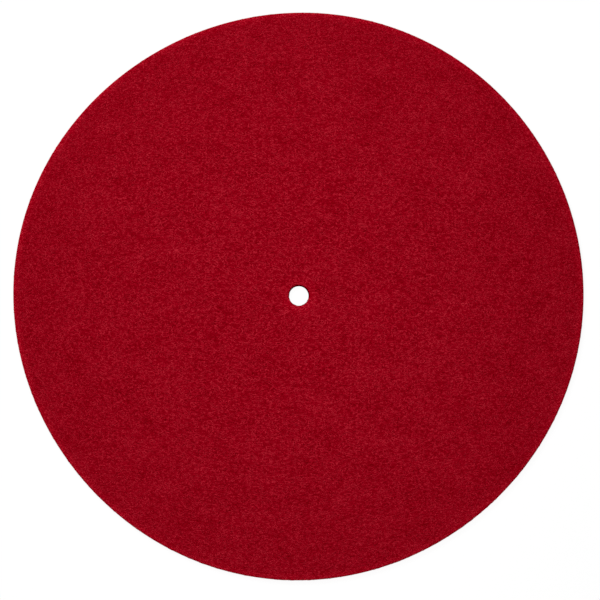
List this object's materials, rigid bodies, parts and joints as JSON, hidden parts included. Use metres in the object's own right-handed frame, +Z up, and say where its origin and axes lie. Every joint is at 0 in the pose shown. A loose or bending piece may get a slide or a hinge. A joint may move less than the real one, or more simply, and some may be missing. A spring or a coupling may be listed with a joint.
{
  "type": "turntable platter mat",
  "caption": "Round flat mat of red wool felt with a plain spindle hole, laid on a turntable platter to carry and damp the record.",
  "frame": {"origin": "centre of the underside, on the spindle's axis", "axes": "+Z up along the spindle's axis, out of the face that carries the record; the mat is round, so +X and +Y are free"},
  "size_m": [0.295, 0.295, 0.003],
  "materials": {
    "felt": "soft nap"
  },
  "bodies": {
    "root": {"felt_mat": "felt"}
  },
  "joints": []
}
